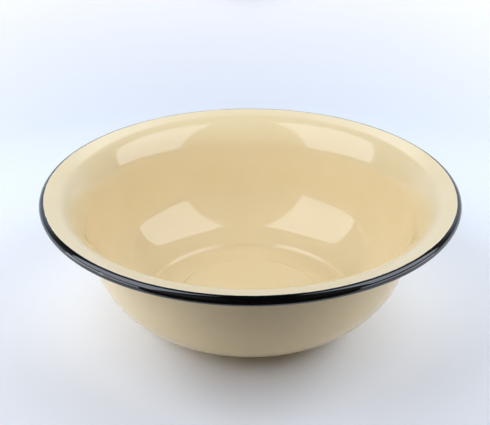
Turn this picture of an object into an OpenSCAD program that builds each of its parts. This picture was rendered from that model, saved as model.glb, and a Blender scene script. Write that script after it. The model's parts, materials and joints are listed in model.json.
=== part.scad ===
// Enamelled basin bowl: a steel pressing with a foot ring, a flared brim and a curled rim.
// A dark ground enamel lies on both faces, cream cover enamel on top of it and black enamel on the rim.
// Z is up on the bowl's axis, with the origin on the table under the middle. Millimetres and degrees.

/* [Rim] */
// Diameter over the curled rim
rim_d = 300; // [270:1:330]
// Height from the table to the top of the rim
overall_h = 95.5; // [86:0.5:110]
// Diameter of the curl's section, coats included
bead_d = 7.1; // [6.4:0.1:9]
// How far round the sheet is curled
curl_sweep = 300; // [270:1:302]
// Where the black edging starts, measured outward from the top of the curl
edging_start = 3; // [0:1:40]

/* [Wall and brim] */
// Rise of the brim towards the rim
brim_slope = 13; // [8:0.5:18]
// Length of the straight part of the brim
brim_l = 8; // [5:0.5:11]
// Radius of the bend between brim and flare, on its outside
brim_bend_r = 12; // [9:0.5:15]
// Slope at which the bend runs into the flare
flare_slope = 41; // [36:0.5:46]
// Radius of the flare between wall and bend, on its outside
flare_r = 38; // [34:0.5:42]
// Slope of the straight part of the wall
wall_slope = 76.5; // [73:0.5:80]
// Radius of the round lower wall, on its outside
bowl_r = 63; // [58:0.5:68]
// How far the round lower wall would dip under the table if the foot did not cut it off
bowl_dip = 1.7; // [1.4:0.05:2.1]

/* [Foot] */
// How far the flat ring that the bowl stands on reaches out past the round wall's line on the table
foot_spread = 4.2; // [3.6:0.1:5]
// Width of the flat ring
foot_w = 17; // [12:0.5:24]
// Height of the base inside the foot ring
base_rise = 1; // [0.6:0.1:2]
// Radius of the bend at the flat ring's outer edge, on the underside
foot_bend_r = 6.5; // [5.5:0.1:7.5]
// Radius of the bend that leads the outer step into the wall, on the underside
shoulder_bend_r = 4.5; // [3.5:0.1:5.5]
// Radius of the two bends of the step up to the base, on the underside
base_bend_r = 3; // [2.6:0.1:3.6]

/* [Layers] */
// Thickness of the steel sheet
steel_t = 0.7; // [0.5:0.05:0.9]
// Thickness of the ground enamel on each face
ground_t = 0.15; // [0.12:0.01:0.2]
// Thickness of the cream and black enamel
cover_t = 0.2; // [0.15:0.01:0.3]

/* [Hidden] */
$fn = 180;
// Largest turn between two points of an arc
arc_step = 4;

cream = [0.90, 0.83, 0.66];
black = [0.03, 0.03, 0.03];
dark_ground = [0.10, 0.11, 0.16];
bare_steel = [0.56, 0.57, 0.58];

bead_r = bead_d / 2;
coat_t = ground_t + cover_t;
wall_t = steel_t + 2 * coat_t;

// Direction at an angle, and the upward normal of a section that slopes by an angle
function along(a) = [cos(a), sin(a)];
function upward(a) = along(90 + a);

// The section's underside, worked back from the rim: brim, bend, flare, straight wall and round lower wall
bead_c = [rim_d / 2 - bead_r, overall_h - bead_r];
brim_end = bead_c + (bead_r - wall_t) * upward(brim_slope);
brim_start = brim_end - brim_l * along(brim_slope);
brim_bend_c = brim_start - brim_bend_r * upward(brim_slope);
flare_c = brim_bend_c + (brim_bend_r - flare_r) * upward(flare_slope);
wall_top = flare_c + flare_r * upward(wall_slope);
wall_l = (wall_top[1] + bowl_dip - bowl_r * (1 - cos(wall_slope))) / sin(wall_slope);
wall_foot = wall_top - wall_l * along(wall_slope);
bowl_c = wall_foot + bowl_r * upward(wall_slope);

// Foot ring: a bend at each edge of the flat ring, and a second bend that ends the step there
bowl_line = bowl_c[0] + sqrt(pow(bowl_r, 2) - pow(bowl_r - bowl_dip, 2));
bend_sum = foot_bend_r + shoulder_bend_r;
foot_outer_c = [bowl_line + foot_spread, foot_bend_r];
foot_inner_c = [foot_outer_c[0] - foot_w, base_bend_r];

// Outer step: its shoulder touches the foot bend and the bowl's round part
to_bowl = bowl_c - foot_outer_c;
bowl_gap = norm(to_bowl);
bowl_reach = bowl_r + shoulder_bend_r;
shoulder_turn = acos((pow(bowl_gap, 2) + pow(bend_sum, 2) - pow(bowl_reach, 2)) / (2 * bowl_gap * bend_sum));
outer_step = 90 + atan2(to_bowl[1], to_bowl[0]) - shoulder_turn;
outer_shoulder_c = foot_outer_c - bend_sum * upward(outer_step);
from_shoulder = bowl_c - outer_shoulder_c;
bowl_start = atan2(from_shoulder[1], from_shoulder[0]) - 90;

// Inner step: as steep as it takes to lift the base by base_rise
inner_step = acos(1 - base_rise / (2 * base_bend_r));
inner_shoulder_c = foot_inner_c - 2 * base_bend_r * upward(-inner_step);

// Points of an arc; skip leaves out the first ones, where the curve before it already ends there
function arc(c, r, from, to, skip = 0) =
    let (n = max(2, ceil(abs(to - from) / arc_step)))
    [for (i = [skip : n]) c + r * along(from + (to - from) * i / n)];

// The section's face that lies d above the underside, from the axis out to the curl
function dish_face(d) = concat(
    [[0, base_rise + d]],
    arc(inner_shoulder_c, base_bend_r + d, 90, 90 - inner_step),
    arc(foot_inner_c, base_bend_r - d, 270 - inner_step, 270, 1),
    arc(foot_outer_c, foot_bend_r - d, 270, 270 + outer_step),
    arc(outer_shoulder_c, shoulder_bend_r + d, 90 + outer_step, 90 + bowl_start, 1),
    arc(bowl_c, bowl_r - d, 270 + bowl_start, 270 + wall_slope, 1),
    arc(flare_c, flare_r + d, 90 + wall_slope, 90 + flare_slope),
    arc(brim_bend_c, brim_bend_r + d, 90 + flare_slope, 90 + brim_slope, 1),
    [brim_end + d * upward(brim_slope)]
);

// The same face carried on round the curl as far as the direction to
function curled_face(d, to) = concat(
    dish_face(d),
    arc(bead_c, bead_r - wall_t + d, 90 + brim_slope, to, 1)
);

curl_end = 90 + brim_slope - curl_sweep;
edging_from = 90 - edging_start;

// Where a circle of radius r round the curl comes back to the underside of the brim
function seam(r) = 90 + brim_slope + acos((bead_r - wall_t) / r) - 360;
function edging_face(r) = arc(bead_c, r, edging_from, seam(r));

function backwards(v) = [for (i = [len(v) - 1 : -1 : 0]) v[i]];

// A layer of the bowl between two faces of its section
module layer(lower, upper) {
    rotate_extrude()
        polygon(concat(lower, backwards(upper)));
}

module steel_pressing() {
    color(bare_steel)
        layer(curled_face(coat_t, curl_end), curled_face(coat_t + steel_t, curl_end));
}

module inner_ground_coat() {
    color(dark_ground)
        layer(curled_face(coat_t + steel_t, curl_end), curled_face(wall_t - cover_t, curl_end));
}

module outer_ground_coat() {
    color(dark_ground)
        layer(dish_face(cover_t), dish_face(coat_t));
}

module inner_cover_coat() {
    color(cream)
        layer(curled_face(wall_t - cover_t, edging_from), curled_face(wall_t, edging_from));
}

module outer_cover_coat() {
    color(cream)
        layer(dish_face(0), dish_face(cover_t));
}

module rim_coat() {
    color(black)
        layer(edging_face(bead_r - cover_t), edging_face(bead_r));
}

steel_pressing();
inner_ground_coat();
outer_ground_coat();
inner_cover_coat();
outer_cover_coat();
rim_coat();
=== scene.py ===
"""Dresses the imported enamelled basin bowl: smooth cream coats, a black edging and soft studio light."""
import json
import logging
import math
from dataclasses import dataclass
from enum import Enum
from functools import cached_property

import bmesh
import bpy
from mathutils import Matrix, Vector

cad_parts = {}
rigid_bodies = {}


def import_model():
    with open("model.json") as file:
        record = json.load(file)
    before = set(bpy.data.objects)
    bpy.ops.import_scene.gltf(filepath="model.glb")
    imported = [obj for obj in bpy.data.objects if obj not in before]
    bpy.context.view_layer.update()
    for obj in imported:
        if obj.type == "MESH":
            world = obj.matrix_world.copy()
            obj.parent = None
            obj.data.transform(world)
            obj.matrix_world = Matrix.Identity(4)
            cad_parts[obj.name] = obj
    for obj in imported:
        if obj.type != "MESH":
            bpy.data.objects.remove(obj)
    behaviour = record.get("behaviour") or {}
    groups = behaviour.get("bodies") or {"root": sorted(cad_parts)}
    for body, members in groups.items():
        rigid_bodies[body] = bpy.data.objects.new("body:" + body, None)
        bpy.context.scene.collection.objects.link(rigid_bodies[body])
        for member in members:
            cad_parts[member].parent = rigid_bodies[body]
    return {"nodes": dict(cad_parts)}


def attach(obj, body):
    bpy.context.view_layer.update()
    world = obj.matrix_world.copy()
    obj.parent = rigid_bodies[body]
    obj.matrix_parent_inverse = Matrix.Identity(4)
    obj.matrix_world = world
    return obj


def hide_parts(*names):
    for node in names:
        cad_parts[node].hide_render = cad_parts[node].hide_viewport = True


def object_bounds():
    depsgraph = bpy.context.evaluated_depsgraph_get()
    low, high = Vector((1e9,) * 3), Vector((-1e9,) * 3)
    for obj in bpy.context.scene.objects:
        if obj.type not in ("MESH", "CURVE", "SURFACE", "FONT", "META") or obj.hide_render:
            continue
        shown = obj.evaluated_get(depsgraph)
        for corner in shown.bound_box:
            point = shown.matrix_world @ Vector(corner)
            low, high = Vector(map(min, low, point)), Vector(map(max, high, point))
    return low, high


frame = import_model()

log = logging.getLogger("basin_bowl")

CAD_BOX: tuple[Vector, Vector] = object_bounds()
BODY = "root"
MM = 0.001
# Points of a mesh that lie closer than this become one, in metres
WELD = MM / 1000
# Points of a section that lie closer than this are the same, in millimetres
SAME_POINT = 1e-6

Colour = tuple[float, float, float]
Triple = tuple[float, float, float]
Span = tuple[float, float]
Path = list[Vector]
Socket = bpy.types.NodeSocket
Sockets = bpy.types.NodeOutputs


class Node(Enum):
    """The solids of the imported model."""

    STEEL = "steel_pressing"
    INNER_GROUND = "inner_ground_coat"
    OUTER_GROUND = "outer_ground_coat"
    INNER_COVER = "inner_cover_coat"
    OUTER_COVER = "outer_cover_coat"
    RIM = "rim_coat"


class Slot(Enum):
    """The record's material slots."""

    STEEL = "steel"
    GROUND = "ground_enamel"
    CREAM = "cream_enamel"
    BLACK = "black_enamel"


def along(angle: float) -> Vector:
    """Direction in the section at an angle in degrees, measured up from straight outwards."""
    return Vector((math.cos(math.radians(angle)), math.sin(math.radians(angle))))


def upward(slope: float) -> Vector:
    """Upward normal of a stretch of the section that rises by slope degrees."""
    return along(90 + slope)


def arc(centre: Vector, radius: float, start: float, end: float, step: float) -> Path:
    """Points of an arc in the section.

    Args:
        centre: Centre of the arc.
        radius: Radius of the arc.
        start: Direction of the first point, in degrees.
        end: Direction of the last point, in degrees.
        step: Largest turn between two points, in degrees.

    Returns:
        The points from start to end.
    """
    count = max(2, math.ceil(abs(end - start) / step))
    return [centre + radius * along(start + (end - start) * i / count) for i in range(count + 1)]


def joined(*stretches: Path, spacing: float) -> Path:
    """Stretches of the section as one path, with points put in where they lie far apart.

    Args:
        stretches: The stretches in order.
        spacing: Largest distance between two points, in millimetres.

    Returns:
        The points of the whole path, each once.
    """
    path: Path = []
    for point in (point for stretch in stretches for point in stretch):
        if path:
            gap = point - path[-1]
            if gap.length < SAME_POINT:
                continue
            count = math.ceil(gap.length / spacing)
            path += [path[-1] + gap * i / count for i in range(1, count)]
        path.append(point)
    return path


def place_object(name: str, data: bpy.types.ID) -> bpy.types.Object:
    """Makes an object and links it to the scene.

    Args:
        name: Name of the object.
        data: Its mesh, lamp or camera.

    Returns:
        The object, at the origin.
    """
    made = bpy.data.objects.new(name, data)
    bpy.context.scene.collection.objects.link(made)
    return made


@dataclass(frozen=True)
class Section:
    """The bowl's section, in millimetres and degrees, with the same sizes as the solids."""

    rim_d: float
    overall_h: float
    bead_d: float = 7.1
    edging_start: float = 3.0
    brim_slope: float = 13.0
    brim_l: float = 8.0
    brim_bend_r: float = 12.0
    flare_slope: float = 41.0
    flare_r: float = 38.0
    wall_slope: float = 76.5
    bowl_r: float = 63.0
    bowl_dip: float = 1.7
    foot_spread: float = 4.2
    foot_w: float = 17.0
    base_rise: float = 1.0
    foot_bend_r: float = 6.5
    shoulder_bend_r: float = 4.5
    base_bend_r: float = 3.0
    steel_t: float = 0.7
    ground_t: float = 0.15
    cover_t: float = 0.2
    # How finely a face is divided: the largest turn on each kind of bend, and the largest distance
    foot_step: float = 6.0
    round_step: float = 1.6
    brim_step: float = 2.4
    spacing: float = 4.0

    @cached_property
    def bead_r(self) -> float:
        """Radius of the curl's section."""
        return self.bead_d / 2

    @cached_property
    def wall_t(self) -> float:
        """Thickness of the sheet with the coats on both faces."""
        return self.steel_t + 2 * (self.ground_t + self.cover_t)

    @cached_property
    def bead_c(self) -> Vector:
        """Centre of the curl."""
        return Vector((self.rim_d / 2 - self.bead_r, self.overall_h - self.bead_r))

    @cached_property
    def brim_end(self) -> Vector:
        """Where the underside of the brim meets the curl."""
        return self.bead_c + (self.bead_r - self.wall_t) * upward(self.brim_slope)

    @cached_property
    def brim_bend_c(self) -> Vector:
        """Centre of the bend between brim and flare."""
        brim_start = self.brim_end - self.brim_l * along(self.brim_slope)
        return brim_start - self.brim_bend_r * upward(self.brim_slope)

    @cached_property
    def flare_c(self) -> Vector:
        """Centre of the flare between wall and bend."""
        return self.brim_bend_c + (self.brim_bend_r - self.flare_r) * upward(self.flare_slope)

    @cached_property
    def bowl_c(self) -> Vector:
        """Finds the round lower wall from the flare above it and the dip below the floor.

        Returns:
            Centre of the round lower wall.
        """
        wall_top = self.flare_c + self.flare_r * upward(self.wall_slope)
        slope = math.radians(self.wall_slope)
        round_h = self.bowl_r * (1 - math.cos(slope))
        wall_l = (wall_top.y + self.bowl_dip - round_h) / math.sin(slope)
        return wall_top - wall_l * along(self.wall_slope) + self.bowl_r * upward(self.wall_slope)

    @cached_property
    def foot_outer_c(self) -> Vector:
        """Centre of the bend at the outer edge of the foot ring."""
        bowl_line = self.bowl_c.x + math.sqrt(self.bowl_r ** 2 - (self.bowl_r - self.bowl_dip) ** 2)
        return Vector((bowl_line + self.foot_spread, self.foot_bend_r))

    @cached_property
    def foot_inner_c(self) -> Vector:
        """Centre of the bend at the inner edge of the foot ring."""
        return Vector((self.foot_outer_c.x - self.foot_w, self.base_bend_r))

    @cached_property
    def bend_sum(self) -> float:
        """Distance between the centres of the outer foot bend and its shoulder bend."""
        return self.foot_bend_r + self.shoulder_bend_r

    @cached_property
    def outer_step(self) -> float:
        """Finds the step that leads from the foot ring into the round wall without a kink.

        Returns:
            Slope of the step.
        """
        to_bowl = self.bowl_c - self.foot_outer_c
        reach = self.bowl_r + self.shoulder_bend_r
        share = (to_bowl.length ** 2 + self.bend_sum ** 2 - reach ** 2) / (2 * to_bowl.length * self.bend_sum)
        return 90 + math.degrees(math.atan2(to_bowl.y, to_bowl.x) - math.acos(share))

    @cached_property
    def outer_shoulder_c(self) -> Vector:
        """Centre of the bend that leads the outer step into the round wall."""
        return self.foot_outer_c - self.bend_sum * upward(self.outer_step)

    @cached_property
    def bowl_start(self) -> float:
        """Slope at which the round wall starts."""
        from_shoulder = self.bowl_c - self.outer_shoulder_c
        return math.degrees(math.atan2(from_shoulder.y, from_shoulder.x)) - 90

    @cached_property
    def inner_step(self) -> float:
        """Slope of the step from the foot ring up to the base."""
        return math.degrees(math.acos(1 - self.base_rise / (2 * self.base_bend_r)))

    @cached_property
    def inner_shoulder_c(self) -> Vector:
        """Centre of the bend that leads the inner step into the base."""
        return self.foot_inner_c - 2 * self.base_bend_r * upward(-self.inner_step)

    @cached_property
    def edging_from(self) -> float:
        """Direction from the curl's centre at which the black edging starts."""
        return 90 - self.edging_start

    def seam(self, radius: float) -> float:
        """Direction at which a circle round the curl comes back to the underside of the brim."""
        return 90 + self.brim_slope + math.degrees(math.acos((self.bead_r - self.wall_t) / radius)) - 360

    def dish_face(self, depth: float, fineness: float = 1.0) -> Path:
        """The face that lies a given depth above the underside, from the axis out to the curl.

        Args:
            depth: Distance above the finished underside, in millimetres.
            fineness: How much finer than usual the path is divided.

        Returns:
            The points of the face.
        """
        foot_step, round_step = self.foot_step / fineness, self.round_step / fineness
        foot_end, bend_start = 90 + self.bowl_start, 90 + self.flare_slope
        return joined(
            [Vector((0, self.base_rise + depth))],
            arc(self.inner_shoulder_c, self.base_bend_r + depth, 90, 90 - self.inner_step, foot_step),
            arc(self.foot_inner_c, self.base_bend_r - depth, 270 - self.inner_step, 270, foot_step),
            arc(self.foot_outer_c, self.foot_bend_r - depth, 270, 270 + self.outer_step, foot_step),
            arc(self.outer_shoulder_c, self.shoulder_bend_r + depth, 90 + self.outer_step, foot_end,
                foot_step),
            arc(self.bowl_c, self.bowl_r - depth, 270 + self.bowl_start, 270 + self.wall_slope, round_step),
            arc(self.flare_c, self.flare_r + depth, 90 + self.wall_slope, bend_start, round_step),
            arc(self.brim_bend_c, self.brim_bend_r + depth, bend_start, 90 + self.brim_slope,
                self.brim_step / fineness),
            [self.brim_end + depth * upward(self.brim_slope)],
            spacing=self.spacing / fineness,
        )

    def curl_face(self, radius: float, end: float, step: float) -> Path:
        """The stretch of a circle round the curl from the brim to the direction end."""
        return arc(self.bead_c, radius, 90 + self.brim_slope, end, step)


class TreeMaker:
    """Adds nodes to a node tree and wires them."""

    NUMBER_RESULTS = ("LENGTH", "DISTANCE", "DOT_PRODUCT")
    RANGE_INPUTS = ("Value", "From Min", "From Max", "To Min", "To Max")

    def __init__(self, tree: bpy.types.NodeTree) -> None:
        """Keeps the tree that is built."""
        self.tree = tree

    def add(self, kind: str, settings: dict | None = None, **values: object) -> bpy.types.Node:
        """Adds a node.

        Args:
            kind: Blender's name for the node type.
            settings: Attributes of the node, such as its operation.
            values: Input sockets by name, with underscores for spaces: a socket to wire from, or a value.

        Returns:
            The new node.
        """
        node = self.tree.nodes.new(kind)
        for name, value in (settings or {}).items():
            setattr(node, name, value)
        self.fill(node, **values)
        return node

    def fill(self, node: bpy.types.Node, **values: object) -> None:
        """Fills a node's inputs, which are named with underscores for spaces."""
        for name, value in values.items():
            self.put(node.inputs[name.replace("_", " ")], value)

    def put(self, socket: Socket, value: object) -> None:
        """Wires a socket into an input, or sets the input to a value.

        Args:
            socket: The input.
            value: A socket to wire from, a value, or a colour without alpha.
        """
        if isinstance(value, bpy.types.NodeSocket):
            self.tree.links.new(value, socket)
        elif socket.type == "RGBA":
            socket.default_value = (*value, 1.0)
        else:
            socket.default_value = value

    def sum_up(self, operation: str, *values: object) -> Socket:
        """Result of a math node on the values, each a number or a socket."""
        return self._worked_out("ShaderNodeMath", operation, *values).outputs[0]

    def times(self, first: object, second: object) -> Socket:
        """Product of two numbers or sockets."""
        return self.sum_up("MULTIPLY", first, second)

    def count(self, operation: str, *values: object) -> Socket:
        """Result of an integer math node on the values, each a whole number or a socket."""
        return self._worked_out("FunctionNodeIntegerMath", operation, *values).outputs[0]

    def vector(self, operation: str, *values: object) -> Socket:
        """Result of a vector math node on the values, each a vector or a socket."""
        node = self._worked_out("ShaderNodeVectorMath", operation, *values)
        return node.outputs["Value" if operation in self.NUMBER_RESULTS else "Vector"]

    def scaled(self, vector: object, factor: object) -> Socket:
        """A vector times a number."""
        node = self.add("ShaderNodeVectorMath", {"operation": "SCALE"}, Vector=vector, Scale=factor)
        return node.outputs["Vector"]

    def remap(self, value: object, low: float, high: object, to_low: object, to_high: object,
              smooth: bool = True) -> Socket:
        """A value's way from low to high, carried over to the span from to_low to to_high.

        Args:
            value: The value, a number or a socket.
            low: Value that gives to_low.
            high: Value that gives to_high.
            to_low: Result at and below low.
            to_high: Result at and above high.
            smooth: Whether the change eases in and out.

        Returns:
            The result's socket.
        """
        node = self.add("ShaderNodeMapRange", {"interpolation_type": "SMOOTHSTEP" if smooth else "LINEAR"})
        for name, given in zip(self.RANGE_INPUTS, (value, low, high, to_low, to_high)):
            self.put(node.inputs[name], given)
        return node.outputs["Result"]

    def rise(self, value: object, span: Span, smooth: bool = True) -> Socket:
        """Goes from 0 to 1 while a value passes through a span."""
        return self.remap(value, *span, 0.0, 1.0, smooth)

    def fall(self, value: object, span: Span) -> Socket:
        """Goes from 1 to 0 while a value passes through a span."""
        return self.remap(value, *span, 1.0, 0.0)

    def blend(self, share: Socket, first: object, second: object) -> Socket:
        """A colour between two, by a share that changes over the surface.

        Args:
            share: How much of the second colour shows.
            first: Colour at a share of 0, or a socket.
            second: Colour at a share of 1, or a socket.

        Returns:
            The mixed colour's socket.
        """
        node = self.add("ShaderNodeMix", {"data_type": "RGBA"}, Factor=share)
        ends = (socket for socket in node.inputs if socket.type == "RGBA")
        for socket, colour in zip(ends, (first, second)):
            self.put(socket, colour)
        return next(socket for socket in node.outputs if socket.type == "RGBA")

    def _worked_out(self, kind: str, operation: str, *values: object) -> bpy.types.Node:
        """Adds a node that works something out from its inputs.

        Args:
            kind: Blender's name for the node type.
            operation: What the node does.
            values: Its inputs in order, each a value or a socket.

        Returns:
            The new node.
        """
        node = self.add(kind, {"operation": operation})
        for socket, value in zip(node.inputs, values):
            self.put(socket, value)
        return node


def blank_material(name: str) -> tuple[bpy.types.Material, TreeMaker, bpy.types.Node]:
    """Makes a material that holds its shader and nothing else.

    Args:
        name: Name of the material.

    Returns:
        The material, a maker for its node tree and its shader.
    """
    material = bpy.data.materials.new(name)
    material.use_nodes = True
    return material, TreeMaker(material.node_tree), material.node_tree.nodes["Principled BSDF"]


class SpinTree:
    """Geometry Nodes tree that spins a section round the bowl's axis, with the small faults of hand work."""

    NAME = "Spun coat"
    SLIDE = "slide"
    SOCKETS = (
        ("Segments", "NodeSocketInt"),
        ("Ripple Height", "NodeSocketFloat"),
        ("Ripple Scale", "NodeSocketFloat"),
        ("Edge Wander", "NodeSocketFloat"),
        ("Wander Scale", "NodeSocketFloat"),
        ("Blister Place", "NodeSocketVector"),
        ("Blister Radius", "NodeSocketFloat"),
        ("Blister Height", "NodeSocketFloat"),
        ("Seed", "NodeSocketFloat"),
        ("Finish", "NodeSocketMaterial"),
    )
    NOISE_SPAN: Span = (0.2, 0.8)
    RIPPLE_DETAIL = 1.0
    WANDER_DETAIL = 2.0

    def __init__(self) -> None:
        """Makes the tree once, for every coat."""
        self.tree = bpy.data.node_groups.new(self.NAME, "GeometryNodeTree")
        self.tree.interface.new_socket("Section", in_out="INPUT", socket_type="NodeSocketGeometry")
        self.ids = {
            name: self.tree.interface.new_socket(name, in_out="INPUT", socket_type=kind).identifier
            for name, kind in self.SOCKETS
        }
        self.tree.interface.new_socket("Coat", in_out="OUTPUT", socket_type="NodeSocketGeometry")
        self._wire()

    def _wire(self) -> None:
        """Places and wires the nodes."""
        make = TreeMaker(self.tree)
        given = make.add("NodeGroupInput").outputs
        shell = self._spun(make, given)
        shell = self._rippled(make, given, shell)
        smooth = make.add("GeometryNodeSetShadeSmooth", Geometry=shell)
        real = make.add("GeometryNodeRealizeInstances", Geometry=smooth.outputs[0])
        coat = make.add("GeometryNodeSetMaterial", Geometry=real.outputs[0], Material=given["Finish"])
        make.add("NodeGroupOutput", Coat=coat.outputs[0])

    def _spun(self, make: TreeMaker, given: Sockets) -> Socket:
        """A grid laid round the axis: its columns are copies of the section, each turned a little further.

        Args:
            make: Maker of the tree.
            given: The tree's inputs.

        Returns:
            The closed shell.
        """
        points = make.add("GeometryNodeAttributeDomainSize", Geometry=given["Section"]).outputs["Point Count"]
        columns = make.count("ADD", given["Segments"], 1)
        grid = make.add("GeometryNodeMeshGrid", Vertices_X=columns, Vertices_Y=points)
        index = make.add("GeometryNodeInputIndex").outputs[0]
        row = make.count("MODULO", index, points)
        column = make.count("DIVIDE", index, points)
        turn = make.times(make.sum_up("DIVIDE", column, given["Segments"]), 2 * math.pi)

        def at_row(value: Socket) -> Socket:
            """A vector of the section's point in this row, turned with its column."""
            sample = make.add("GeometryNodeSampleIndex", {"data_type": "FLOAT_VECTOR"},
                              Geometry=given["Section"], Value=value, Index=row)
            return make.add("ShaderNodeVectorRotate", {"rotation_type": "Z_AXIS"},
                            Vector=sample.outputs[0], Angle=turn).outputs[0]

        place = at_row(make.add("GeometryNodeInputPosition").outputs[0])
        named = make.add("GeometryNodeInputNamedAttribute", {"data_type": "FLOAT_VECTOR"}, Name=self.SLIDE)
        slide = at_row(named.outputs["Attribute"])
        wander = self._swing(make, given, place, "Edge Wander", "Wander Scale", self.WANDER_DETAIL)
        place = make.vector("ADD", place, make.scaled(slide, wander))
        laid = make.add("GeometryNodeSetPosition", Geometry=grid.outputs["Mesh"], Position=place)
        welded = make.add("GeometryNodeMergeByDistance", Geometry=laid.outputs[0], Distance=WELD)
        return welded.outputs[0]

    def _rippled(self, make: TreeMaker, given: Sockets, shell: Socket) -> Socket:
        """The shell with the slight unevenness of a fired coat, and a blister where one is asked for.

        Args:
            make: Maker of the tree.
            given: The tree's inputs.
            shell: The even shell.

        Returns:
            The uneven shell.
        """
        place = make.add("GeometryNodeInputPosition").outputs[0]
        normal = make.add("GeometryNodeInputNormal").outputs[0]
        ripple = self._swing(make, given, place, "Ripple Height", "Ripple Scale", self.RIPPLE_DETAIL)
        off = make.vector("DISTANCE", place, given["Blister Place"])
        blister = make.remap(off, 0.0, given["Blister Radius"], given["Blister Height"], 0.0)
        offset = make.scaled(normal, make.sum_up("ADD", ripple, blister))
        return make.add("GeometryNodeSetPosition", Geometry=shell, Offset=offset).outputs[0]

    def _swing(self, make: TreeMaker, given: Sockets, place: Socket, reach: str, scale: str,
               detail: float) -> Socket:
        """A distance that swings to and fro over the surface at random.

        Args:
            make: Maker of the tree.
            given: The tree's inputs.
            place: Where on the surface the swing is read.
            reach: Name of the input that says how far it goes either way.
            scale: Name of the input that says how fine it is.
            detail: How much finer detail it has.

        Returns:
            The distance's socket.
        """
        noise = make.add("ShaderNodeTexNoise", {"noise_dimensions": "4D"}, Vector=place, W=given["Seed"],
                         Scale=given[scale], Detail=detail)
        share = make.remap(noise.outputs["Fac"], *self.NOISE_SPAN, -1.0, 1.0, smooth=False)
        return make.times(share, given[reach])


class GlazeGroup:
    """Shader node group for fired enamel: clouding, orange peel, pinholes and uneven gloss."""

    NAME = "Fired glaze"
    INPUTS = ("Cloud Scale", "Peel Scale", "Speck Scale", "Speck Share", "Gloss Low", "Gloss High")
    OUTPUTS = ("Cloud", "Specks", "Roughness", "Height")
    CLOUD_NOISE = {"Detail": 3.0, "Roughness": 0.55}
    CLOUD_SPAN: Span = (0.35, 0.65)
    PEEL_NOISE = {"Detail": 1.5, "Roughness": 0.4}
    PEEL_HAZE = 0.5
    HAZE_SPAN: Span = (0.1, 1.3)
    SPECK_RADII: Span = (0.05, 0.11)
    SPECK_DEPTH = 0.6

    def __init__(self) -> None:
        """Makes the group once, for every enamel."""
        self.tree = bpy.data.node_groups.new(self.NAME, "ShaderNodeTree")
        self.tree.interface.new_socket("Vector", in_out="INPUT", socket_type="NodeSocketVector")
        for way, names in (("INPUT", self.INPUTS), ("OUTPUT", self.OUTPUTS)):
            for name in names:
                self.tree.interface.new_socket(name, in_out=way, socket_type="NodeSocketFloat")
        self._wire()

    def _wire(self) -> None:
        """Places and wires the nodes."""
        make = TreeMaker(self.tree)
        given = make.add("NodeGroupInput").outputs
        place = given["Vector"]
        drift = make.add("ShaderNodeTexNoise", Vector=place, Scale=given["Cloud Scale"], **self.CLOUD_NOISE)
        cloud = make.rise(drift.outputs["Fac"], self.CLOUD_SPAN)
        skin = make.add("ShaderNodeTexNoise", Vector=place, Scale=given["Peel Scale"], **self.PEEL_NOISE)
        peel = skin.outputs["Fac"]
        cells = make.add("ShaderNodeTexVoronoi", {"feature": "F1"}, Vector=place, Scale=given["Speck Scale"])
        dot = make.fall(cells.outputs["Distance"], self.SPECK_RADII)
        draw = make.add("ShaderNodeSeparateColor", Color=cells.outputs["Color"]).outputs["Red"]
        specks = make.times(dot, make.sum_up("LESS_THAN", draw, given["Speck Share"]))
        haze = make.sum_up("ADD", cloud, make.times(peel, self.PEEL_HAZE))
        gloss = make.remap(haze, *self.HAZE_SPAN, given["Gloss Low"], given["Gloss High"], smooth=False)
        height = make.sum_up("SUBTRACT", peel, make.times(specks, self.SPECK_DEPTH))
        make.add("NodeGroupOutput", Cloud=cloud, Specks=specks, Roughness=gloss, Height=height)


@dataclass(frozen=True)
class EnamelFinish:
    """A fired enamel: glass colour with clouding, pinholes and a slight orange peel."""

    name: str
    colour: Colour
    cloud_colour: Colour
    speck_colour: Colour
    cloud_scale: float = 26.0
    peel_scale: float = 210.0
    peel_depth: float = 0.004 * MM
    speck_scale: float = 160.0
    speck_share: float = 0.004
    gloss: Span = (0.03, 0.07)
    ior: float = 1.52
    foot_wear: float = 0.0
    wear_top: float = 0.35 * MM

    def material(self, glaze: GlazeGroup) -> bpy.types.Material:
        """Makes the enamel's material.

        Args:
            glaze: The shared glaze effect.

        Returns:
            The material, with the shader in it and the effect as a group.
        """
        material, make, shader = blank_material(self.name)
        place = make.add("ShaderNodeTexCoord").outputs["Object"]
        gloss_low, gloss_high = self.gloss
        effect = make.add(
            "ShaderNodeGroup", {"node_tree": glaze.tree}, Vector=place, Cloud_Scale=self.cloud_scale,
            Peel_Scale=self.peel_scale, Speck_Scale=self.speck_scale, Speck_Share=self.speck_share,
            Gloss_Low=gloss_low, Gloss_High=gloss_high,
        ).outputs
        colour = make.blend(effect["Cloud"], self.colour, self.cloud_colour)
        colour = make.blend(effect["Specks"], colour, self.speck_colour)
        rough = effect["Roughness"]
        if self.foot_wear:
            height = make.add("ShaderNodeSeparateXYZ", Vector=place).outputs["Z"]
            worn = make.remap(height, 0.0, self.wear_top, self.foot_wear, 0.0)
            rough = make.sum_up("ADD", rough, make.times(worn, effect["Height"]))
        bump = make.add("ShaderNodeBump", Height=effect["Height"], Strength=1.0, Distance=self.peel_depth)
        make.fill(shader, Base_Color=colour, Roughness=rough, Normal=bump.outputs[0], IOR=self.ior)
        return material


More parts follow.
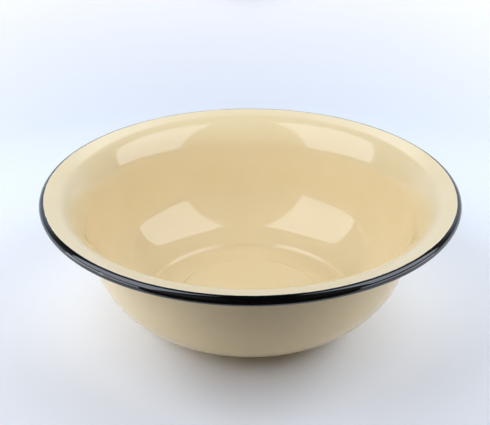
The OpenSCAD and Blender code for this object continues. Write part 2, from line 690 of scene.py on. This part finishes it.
@dataclass(frozen=True)
class SheetFinish:
    """Rolled steel sheet with faint drawing lines, closed in by the enamel."""

    name: str
    colour: Colour
    dark_colour: Colour
    streak_scale: float = 900.0
    streak_squeeze: Triple = (0.05, 1.0, 0.05)
    streak_detail: float = 2.0
    streak_span: Span = (0.3, 0.7)
    roughness: Span = (0.28, 0.45)

    def material(self) -> bpy.types.Material:
        """Makes the sheet's material.

        Returns:
            The material.
        """
        material, make, shader = blank_material(self.name)
        place = make.add("ShaderNodeTexCoord").outputs["Object"]
        drawn_out = make.vector("MULTIPLY", place, self.streak_squeeze)
        noise = make.add("ShaderNodeTexNoise", Vector=drawn_out, Scale=self.streak_scale,
                         Detail=self.streak_detail)
        lines = noise.outputs["Fac"]
        rough = make.remap(lines, *self.streak_span, *self.roughness)
        colour = make.blend(lines, self.dark_colour, self.colour)
        make.fill(shader, Base_Color=colour, Roughness=rough, Metallic=1.0)
        return material


@dataclass
class SpunCoat:
    """One coat of enamel as a closed shell, spun from its section."""

    name: str
    node: Node
    slot: Slot
    path: Path
    slides: list[Vector]
    seed: float
    segments: int = 400
    ripple_h: float = 0.03 * MM
    ripple_scale: float = 28.0
    wander: float = 0.0
    wander_scale: float = 120.0
    blister: Triple = (0.0, 0.0, 1.0)
    blister_r: float = 1.0 * MM
    blister_h: float = 0.0
    sharp_angle: float = 35.0

    def build(self, spin: SpinTree, finish: bpy.types.Material) -> bpy.types.Object:
        """Makes the coat's mesh and its object.

        Args:
            spin: The tree that spins a section.
            finish: The coat's material.

        Returns:
            The coat, with a plain mesh and no modifier left.
        """
        coat = self._section_object()
        modifier = coat.modifiers.new("Spin", "NODES")
        modifier.node_group = spin.tree
        sizes = {
            "Segments": self.segments,
            "Ripple Height": self.ripple_h,
            "Ripple Scale": self.ripple_scale,
            "Edge Wander": self.wander,
            "Wander Scale": self.wander_scale,
            "Blister Place": self.blister,
            "Blister Radius": self.blister_r,
            "Blister Height": self.blister_h,
            "Seed": self.seed,
            "Finish": finish,
        }
        for name, value in sizes.items():
            modifier[spin.ids[name]] = value
        spun = coat.evaluated_get(bpy.context.evaluated_depsgraph_get())
        mesh = bpy.data.meshes.new_from_object(spun)
        mesh.name = self.name
        coat.modifiers.remove(modifier)
        coat.data = mesh
        self._close(mesh)
        return coat

    def dress(self, coat: bpy.types.Object) -> None:
        """Ties the coat to the frame in place of its solid.

        Args:
            coat: The coat that build made.
        """
        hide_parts(self.node.value)
        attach(coat, BODY)
        log.info("%s: %d faces", coat.name, len(coat.data.polygons))

    def _section_object(self) -> bpy.types.Object:
        """Makes the section as a chain of edges in the XZ plane, with each point's way to slide.

        Returns:
            The object that the tree spins.
        """
        mesh = bpy.data.meshes.new(self.name + "_section")
        corners = [(point.x * MM, 0.0, point.y * MM) for point in self.path]
        mesh.from_pydata(corners, [(i, i + 1) for i in range(len(corners) - 1)], [])
        slide = mesh.attributes.new(SpinTree.SLIDE, "FLOAT_VECTOR", "POINT")
        for entry, way in zip(slide.data, self.slides):
            entry.vector = (way.x, 0.0, way.y)
        return place_object(self.name, mesh)

    def _close(self, mesh: bpy.types.Mesh) -> None:
        """Closes the seam and the poles, points the faces outwards and marks the sharp edges.

        Args:
            mesh: The spun mesh.
        """
        shell = bmesh.new()
        shell.from_mesh(mesh)
        bmesh.ops.remove_doubles(shell, verts=shell.verts, dist=WELD)
        bmesh.ops.dissolve_degenerate(shell, edges=shell.edges, dist=WELD)
        bmesh.ops.recalc_face_normals(shell, faces=shell.faces)
        shell.to_mesh(mesh)
        shell.free()
        mesh.set_sharp_from_angle(angle=math.radians(self.sharp_angle))


@dataclass
class CoverCoats:
    """The cream enamel: one coat inside, up to the edging, and one outside, down to the foot."""

    section: Section
    lap: float = 7.0
    hidden_fineness: float = 0.4
    curl_step: float = 4.0
    inner_seed: float = 3.0
    outer_seed: float = 7.0

    def inner(self) -> SpunCoat:
        """The coat inside the bowl and on the brim, which runs a little way under the edging."""
        back = self._inner_face(self.section.cover_t, self.hidden_fineness)
        return self._coat("inner_cover", Node.INNER_COVER, back, self._inner_face(), self.inner_seed)

    def outer(self) -> SpunCoat:
        """The coat on the outside and under the base."""
        back = self.section.dish_face(self.section.cover_t, self.hidden_fineness)
        return self._coat("outer_cover", Node.OUTER_COVER, back, self.section.dish_face(0.0), self.outer_seed)

    def build(self, spin: SpinTree, finish: bpy.types.Material) -> list[bpy.types.Object]:
        """Makes and dresses both coats.

        Args:
            spin: The tree that spins a section.
            finish: The cream enamel.

        Returns:
            The two coats.
        """
        built = []
        for coat in (self.inner(), self.outer()):
            built.append(coat.build(spin, finish))
            coat.dress(built[-1])
        return built

    def _inner_face(self, below: float = 0.0, fineness: float = 1.0) -> Path:
        """A face of the inner coat, from the axis to its end under the edging.

        Args:
            below: Distance below the finished inside, in millimetres.
            fineness: How much finer than usual the path is divided.

        Returns:
            The points of the face.
        """
        section = self.section
        dish = section.dish_face(section.wall_t - below, fineness)
        curl = section.curl_face(section.bead_r - below, section.edging_from - self.lap, self.curl_step)
        return joined(dish, curl, spacing=section.rim_d)

    @staticmethod
    def _coat(name: str, node: Node, back: Path, front: Path, seed: float) -> SpunCoat:
        """A coat between two faces, neither of which slides.

        Args:
            name: Name of the coat's object.
            node: The solid that it replaces.
            back: The hidden face, from the axis outwards.
            front: The visible face, from the axis outwards.
            seed: Seed of the ripple.

        Returns:
            The coat.
        """
        path = back + front[::-1]
        still = [Vector((0.0, 0.0)) for _ in path]
        return SpunCoat(name, node, Slot.CREAM, path, still, seed)


@dataclass
class RimEdging:
    """The black enamel on the curled rim, laid on by hand over the end of the cream."""

    section: Section
    proud: float = 0.03
    feather: float = 5.0
    slide_fade: float = 30.0
    step: float = 4.0
    back_step: float = 8.0
    segments: int = 840
    ripple_h: float = 0.02 * MM
    wander: float = 0.16 * MM
    blister_turn: float = 232.0
    blister_rise: float = 20.0
    blister_r: float = 1.3 * MM
    blister_h: float = 0.25 * MM
    seed: float = 11.0

    def coat(self) -> SpunCoat:
        """The edging's section: a band round the curl whose upper edge thins out and wanders.

        Returns:
            The coat.
        """
        section = self.section
        outside, inside = section.bead_r + self.proud, section.bead_r - section.cover_t
        top = section.edging_from
        skin = arc(section.bead_c, outside, top - self.feather, section.seam(outside), self.step)
        back = arc(section.bead_c, inside, section.seam(inside), top, self.back_step)
        tip = section.bead_c + section.bead_r * along(top)
        path = [tip, *skin, *back, tip]
        slides = [self._slide(point) for point in path]
        turn = math.radians(self.blister_turn)
        spot = section.bead_c + outside * along(self.blister_rise)
        blister = (spot.x * MM * math.cos(turn), spot.x * MM * math.sin(turn), spot.y * MM)
        return SpunCoat("rim_edging", Node.RIM, Slot.BLACK, path, slides, self.seed, segments=self.segments,
                        ripple_h=self.ripple_h, wander=self.wander, blister=blister,
                        blister_r=self.blister_r, blister_h=self.blister_h)

    def build(self, spin: SpinTree, finish: bpy.types.Material) -> bpy.types.Object:
        """Makes and dresses the edging.

        Args:
            spin: The tree that spins a section.
            finish: The black enamel.

        Returns:
            The edging.
        """
        coat = self.coat()
        edging = coat.build(spin, finish)
        coat.dress(edging)
        return edging

    def _slide(self, point: Vector) -> Vector:
        """Way along the curl in which a point may wander, which fades out away from the upper edge.

        Args:
            point: A point of the edging's section.

        Returns:
            The way, of length 1 at the edge.
        """
        from_centre = point - self.section.bead_c
        angle = math.degrees(math.atan2(from_centre.y, from_centre.x))
        share = max(0.0, 1 - abs(self.section.edging_from - angle) / self.slide_fade)
        return share * upward(angle)


@dataclass(frozen=True)
class Sweep:
    """Pale paper under the bowl that bends up into a backdrop, in metres.

    Part of its paleness is painted light, a glow that shows only in the picture and in reflections, so that
    it adds no light to the bowl.
    """

    front: float = -12.0
    back: float = 1.6
    bend_r: float = 0.4
    bend_step: float = 4.0
    height: float = 0.45
    half_width: float = 12.0
    # Painted light: the paper is darker near the front and paler and bluer towards the back
    colour: Colour = (0.81, 0.79, 0.79)
    far_colour: Colour = (0.91, 0.925, 0.955)
    far: Span = (-0.25, 0.25)
    mottle: float = 0.015
    mottle_scale: float = 6.0
    mottle_detail: float = 2.0
    mottle_span: Span = (0.3, 0.7)
    roughness: float = 0.7
    specular: float = 0.15
    # Painted light: a glow round the bowl, left out close to it where its shadow falls, which fades out
    # behind it
    painted_light_near: Colour = (0.125, 0.14, 0.155)
    lift_from: Span = (0.09, 0.16)
    lift_squeeze: Triple = (1.9, 1.0, 1.0)
    lift_behind: Span = (0.0, 0.45)
    # Painted light further out, which leaves out the wedge straight behind
    painted_light_far: Colour = (0.58, 0.54, 0.51)
    outer_from: Span = (0.4, 1.05)
    outer_behind: Span = (0.7, 1.0)

    def build(self) -> None:
        """Makes the sweep as a strip of faces, from the front to the top of the backdrop."""
        bend = arc(Vector((self.back - self.bend_r, self.bend_r)), self.bend_r, 270, 360, self.bend_step)
        run = [Vector((self.front, 0.0)), *bend, Vector((self.back, self.height))]
        corners = [(side * self.half_width, point.x, point.y) for side in (-1, 1) for point in run]
        faces = [(i, i + len(run), i + len(run) + 1, i + 1) for i in range(len(run) - 1)]
        mesh = bpy.data.meshes.new("sweep")
        mesh.from_pydata(corners, [], faces)
        mesh.shade_smooth()
        mesh.materials.append(self._paper())
        sweep = place_object("sweep", mesh)

    def _paper(self) -> bpy.types.Material:
        """Makes matt paper with a faint mottle, with painted light that makes it paler towards the back.

        Returns:
            The material.
        """
        material, make, shader = blank_material("sweep_paper")
        place = make.add("ShaderNodeTexCoord").outputs["Object"]
        axes = make.add("ShaderNodeSeparateXYZ", Vector=place).outputs
        noise = make.add("ShaderNodeTexNoise", Vector=place, Scale=self.mottle_scale,
                         Detail=self.mottle_detail)
        mottle = make.remap(noise.outputs["Fac"], *self.mottle_span, -self.mottle, self.mottle, smooth=False)
        far = make.sum_up("ADD", make.rise(axes["Y"], self.far), mottle)
        make.fill(shader, Base_Color=make.blend(far, self.colour, self.far_colour), Roughness=self.roughness,
                  Specular_IOR_Level=self.specular, Emission_Color=self._painted_light(make, place, axes),
                  Emission_Strength=self._seen(make))
        return material

    def _painted_light(self, make: TreeMaker, place: Socket, axes: Sockets) -> Socket:
        """Painted light that is added round the bowl, though not close to it, and further out.

        Args:
            make: Maker of the paper's tree.
            place: Place on the paper.
            axes: The place's parts.

        Returns:
            The colour of the painted light to add.
        """
        squeezed = make.vector("MULTIPLY", place, self.lift_squeeze)
        near = make.rise(make.vector("LENGTH", squeezed), self.lift_from)
        near = make.times(near, make.fall(axes["Y"], self.lift_behind))
        outer = make.rise(make.vector("LENGTH", place), self.outer_from, smooth=False)
        wedge = make.sum_up("SUBTRACT", axes["Y"], make.sum_up("ABSOLUTE", axes["X"]))
        outer = make.times(outer, make.fall(wedge, self.outer_behind))
        return make.vector("ADD", make.scaled(self.painted_light_near, near), make.scaled(self.painted_light_far, outer))

    @staticmethod
    def _seen(make: TreeMaker) -> Socket:
        """Tells the rays that show the paper from those that light the bowl.

        Args:
            make: Maker of the paper's tree.

        Returns:
            1 in the picture and in what the bowl mirrors or lets through, 0 elsewhere.
        """
        path = make.add("ShaderNodeLightPath").outputs
        mirrored = make.sum_up("MAXIMUM", path["Is Glossy Ray"], path["Is Transmission Ray"])
        return make.sum_up("MAXIMUM", path["Is Camera Ray"], mirrored)


@dataclass(frozen=True)
class PaintedShadeBoard:
    """A low dark board below the picture, which keeps the pale floor out of the bowl's front, in metres:
    painted shade, a dark sheet seen only in what the bowl mirrors and in the light bounced onto it.
    """

    front: float = -0.185
    bottom: float = 0.008
    top: float = 0.1
    half_width: float = 0.14
    # Painted shade: the dark colour that the bowl's front mirrors in place of the pale floor
    colour: Colour = (0.06, 0.035, 0.02)
    roughness: float = 0.9

    def build(self) -> None:
        """Makes the board, which the camera doesn't see and which casts no shadow."""
        ends = [(side * self.half_width, self.front) for side in (-1, 1)]
        low = [(*end, self.bottom) for end in ends]
        high = [(*end, self.top) for end in reversed(ends)]
        mesh = bpy.data.meshes.new("board")
        mesh.from_pydata(low + high, [], [(0, 1, 2, 3)])
        # The board's material is painted shade, seen only in reflections and bounced light
        paint, make, shader = blank_material("painted_shade_board")
        make.fill(shader, Base_Color=self.colour, Roughness=self.roughness)
        mesh.materials.append(paint)
        board = place_object("board", mesh)
        board.visible_camera = False
        board.visible_shadow = False


@dataclass(frozen=True)
class Softbox:
    """A rectangular lamp, in metres, given by its upper edge's middle and run and the way it faces."""

    name: str
    top: Triple
    edge: Triple
    facing: Triple
    width: float
    height: float
    radiance: float = 3.08
    colour: Colour = (0.895, 0.97, 1.105)

    def build(self) -> bpy.types.Object:
        """Makes the lamp, which the camera doesn't see.

        Returns:
            The lamp.
        """
        lamp = bpy.data.lights.new(self.name, "AREA")
        lamp.shape = "RECTANGLE"
        lamp.size, lamp.size_y = self.width, self.height
        lamp.energy = self.radiance * math.pi * self.width * self.height
        lamp.color = self.colour
        back = -Vector(self.facing).normalized()
        across = Vector(self.edge)
        across = (across - across.dot(back) * back).normalized()
        across = across if back.cross(across).z > 0 else -across
        up = back.cross(across)
        turn = Matrix((across, up, back)).transposed().to_4x4()
        box = place_object(self.name, lamp)
        box.matrix_world = Matrix.Translation(Vector(self.top) - self.height / 2 * up) @ turn
        box.visible_camera = False
        log.info("%s: %.2f by %.2f m", self.name, self.width, self.height)
        return box


@dataclass(frozen=True)
class LowStrips:
    """A low lamp on each side, no higher than the rim, which lights the outside of the bowl, in metres."""

    left_radiance: float = 4.6
    right_radiance: float = 3.0
    aside: float = 0.55
    middle: float = -0.23
    top: float = 0.088
    width: float = 0.47
    height: float = 0.08
    tilt: float = 0.6

    def build(self, bowl: list[bpy.types.Object]) -> None:
        """Makes the strips and keeps their light off the floor.

        Args:
            bowl: The pieces that the strips light.
        """
        lit = bpy.data.collections.new("lit_by_strips")
        for piece in bowl:
            lit.objects.link(piece)
        sides = (("strip_left", -1.0, self.left_radiance), ("strip_right", 1.0, self.right_radiance))
        for name, side, radiance in sides:
            strip = Softbox(name, top=(side * self.aside, self.middle, self.top), edge=(0.0, 1.0, 0.0),
                            facing=(-side, 0.0, self.tilt), width=self.width, height=self.height,
                            radiance=radiance).build()
            strip.light_linking.receiver_collection = lit


@dataclass(frozen=True)
class Glow:
    """A patch of light in the room: the way to its middle, and its colour times its strength."""

    way: Triple
    light: Colour


@dataclass(frozen=True)
class Room:
    """Light from all round: bright from behind, pale from the sides and dim from the front.

    The light changes over spans of a direction's X, Y or Z, or of its cosine to a glow's way.
    """

    dim: Colour = (0.02, 0.019, 0.017)
    glows: tuple[Glow, ...] = (
        Glow((-0.91, -0.36, 0.20), (0.30, 0.32, 0.35)),
        Glow((0.96, -0.10, 0.26), (0.15, 0.16, 0.17)),
    )
    glow_span: Span = (0.45, 0.95)
    low_glows: tuple[Glow, ...] = (
        Glow((-0.98, -0.17, 0.0), (4.2, 4.4, 4.7)),
        Glow((0.98, -0.17, 0.0), (3.5, 3.7, 3.95)),
    )
    low_span: Span = (0.87, 0.95)
    low_top: Span = (0.03, 0.1)
    bright: Colour = (0.72, 0.87, 1.15)
    bright_behind: Span = (0.45, 0.8)
    bright_below: Span = (0.46, 0.60)
    panel: Colour = (1.95, 2.15, 2.42)
    panel_side: Span = (0.2, 0.42)
    panel_top: Span = (0.68, 0.84)
    panel_bottom: Span = (0.48, 0.66)

    def build(self) -> None:
        """Makes the scene's world."""
        world = bpy.data.worlds.new("room")
        world.use_nodes = True
        bpy.context.scene.world = world
        make = TreeMaker(world.node_tree)
        way = make.add("ShaderNodeTexCoord").outputs["Generated"]
        axes = make.add("ShaderNodeSeparateXYZ", Vector=way).outputs
        colour = self.dim
        for glow in self.glows:
            near = make.rise(make.vector("DOT_PRODUCT", way, glow.way), self.glow_span)
            colour = make.blend(near, colour, glow.light)
        level = make.fall(axes["Z"], self.low_top)
        for glow in self.low_glows:
            near = make.rise(make.vector("DOT_PRODUCT", way, glow.way), self.low_span)
            colour = make.blend(make.times(near, level), colour, glow.light)
        behind = make.rise(axes["Y"], self.bright_behind)
        low = make.times(behind, make.fall(axes["Z"], self.bright_below))
        colour = make.blend(low, colour, self.bright)
        panel = make.times(behind, make.fall(axes["Z"], self.panel_top))
        panel = make.times(panel, make.rise(axes["Z"], self.panel_bottom))
        panel = make.times(panel, make.fall(make.sum_up("ABSOLUTE", axes["X"]), self.panel_side))
        colour = make.blend(panel, colour, self.panel)
        make.fill(world.node_tree.nodes["Background"], Color=colour)


@dataclass(frozen=True)
class Viewpoint:
    """Camera at the photograph's viewing angle, in metres and degrees."""

    image_width: int = 490
    focal_pixels: float = 1000.0
    sensor_width: float = 36.0
    aim_height: float = 73.43 * MM
    distance: float = 729.94 * MM
    elevation: float = 27.86
    pan: float = 0.33

    def build(self) -> None:
        """Makes the camera and looks through it."""
        camera = bpy.data.cameras.new("viewpoint")
        camera.sensor_fit = "HORIZONTAL"
        camera.sensor_width = self.sensor_width
        camera.lens = self.focal_pixels * self.sensor_width / self.image_width
        viewer = place_object("viewpoint", camera)
        away = along(self.elevation)
        out = Vector((0.0, -away.x, away.y))
        viewer.location = Vector((0.0, 0.0, self.aim_height)) + self.distance * out
        look = Matrix.Rotation(math.radians(self.pan), 3, "Z") @ -out
        viewer.rotation_euler = look.to_track_quat("-Z", "Y").to_euler()
        bpy.context.scene.camera = viewer


CREAM = EnamelFinish(
    "cream_enamel",
    colour=(0.880, 0.700, 0.402),
    cloud_colour=(0.892, 0.714, 0.417),
    speck_colour=(0.66, 0.53, 0.30),
    ior=1.49,
    foot_wear=0.5,
)
BLACK = EnamelFinish(
    "black_enamel",
    colour=(0.0015, 0.0017, 0.0015),
    cloud_colour=(0.0022, 0.0022, 0.0022),
    speck_colour=(0.012, 0.012, 0.012),
    peel_scale=260.0,
    gloss=(0.03, 0.06),
    ior=1.62,
)
GROUND = EnamelFinish(
    "ground_enamel",
    colour=(0.010, 0.011, 0.020),
    cloud_colour=(0.014, 0.015, 0.027),
    speck_colour=(0.05, 0.05, 0.06),
    speck_share=0.2,
    gloss=(0.08, 0.16),
)
STEEL = SheetFinish("steel_sheet", colour=(0.56, 0.57, 0.58), dark_colour=(0.44, 0.45, 0.46))

# A softbox on each side, turned towards the back
SOFTBOXES = (
    Softbox(
        "softbox_right",
        top=(0.575, 0.188, 1.027),
        edge=(0.754, 0.646, 0.124),
        facing=(-0.546, 0.719, -0.431),
        width=0.99,
        height=0.75,
    ),
    Softbox(
        "softbox_left",
        top=(-0.502, 0.113, 1.136),
        edge=(-0.787, 0.608, 0.093),
        facing=(0.501, 0.721, -0.478),
        width=0.93,
        height=0.92,
    ),
)


def dress_hidden_layers(ground: bpy.types.Material, steel: bpy.types.Material) -> None:
    """Gives the closed-in solids their finishes.

    Args:
        ground: The ground enamel.
        steel: The steel sheet.
    """
    layers = {
        Node.STEEL: (steel, Slot.STEEL),
        Node.INNER_GROUND: (ground, Slot.GROUND),
        Node.OUTER_GROUND: (ground, Slot.GROUND),
    }
    for node, (finish, slot) in layers.items():
        solid = frame["nodes"][node.value]
        solid.data.materials.clear()
        solid.data.materials.append(finish)
        log.info("%s: %s", node.value, finish.name)


def main() -> None:
    """Builds the bowl's coats, the studio and the camera."""
    logging.basicConfig(level=logging.INFO, format="%(name)s %(message)s")
    scene = bpy.context.scene
    scene.view_settings.view_transform = "Standard"
    section = Section(rim_d=2 * CAD_BOX[1][0] / MM, overall_h=CAD_BOX[1][2] / MM)
    spin, glaze = SpinTree(), GlazeGroup()
    coats = CoverCoats(section).build(spin, CREAM.material(glaze))
    edging = RimEdging(section).build(spin, BLACK.material(glaze))
    dress_hidden_layers(GROUND.material(glaze), STEEL.material())
    Sweep().build()
    PaintedShadeBoard().build()
    for softbox in SOFTBOXES:
        softbox.build()
    LowStrips().build([*coats, edging])
    Room().build()
    Viewpoint().build()


if __name__ == "__main__":
    main()
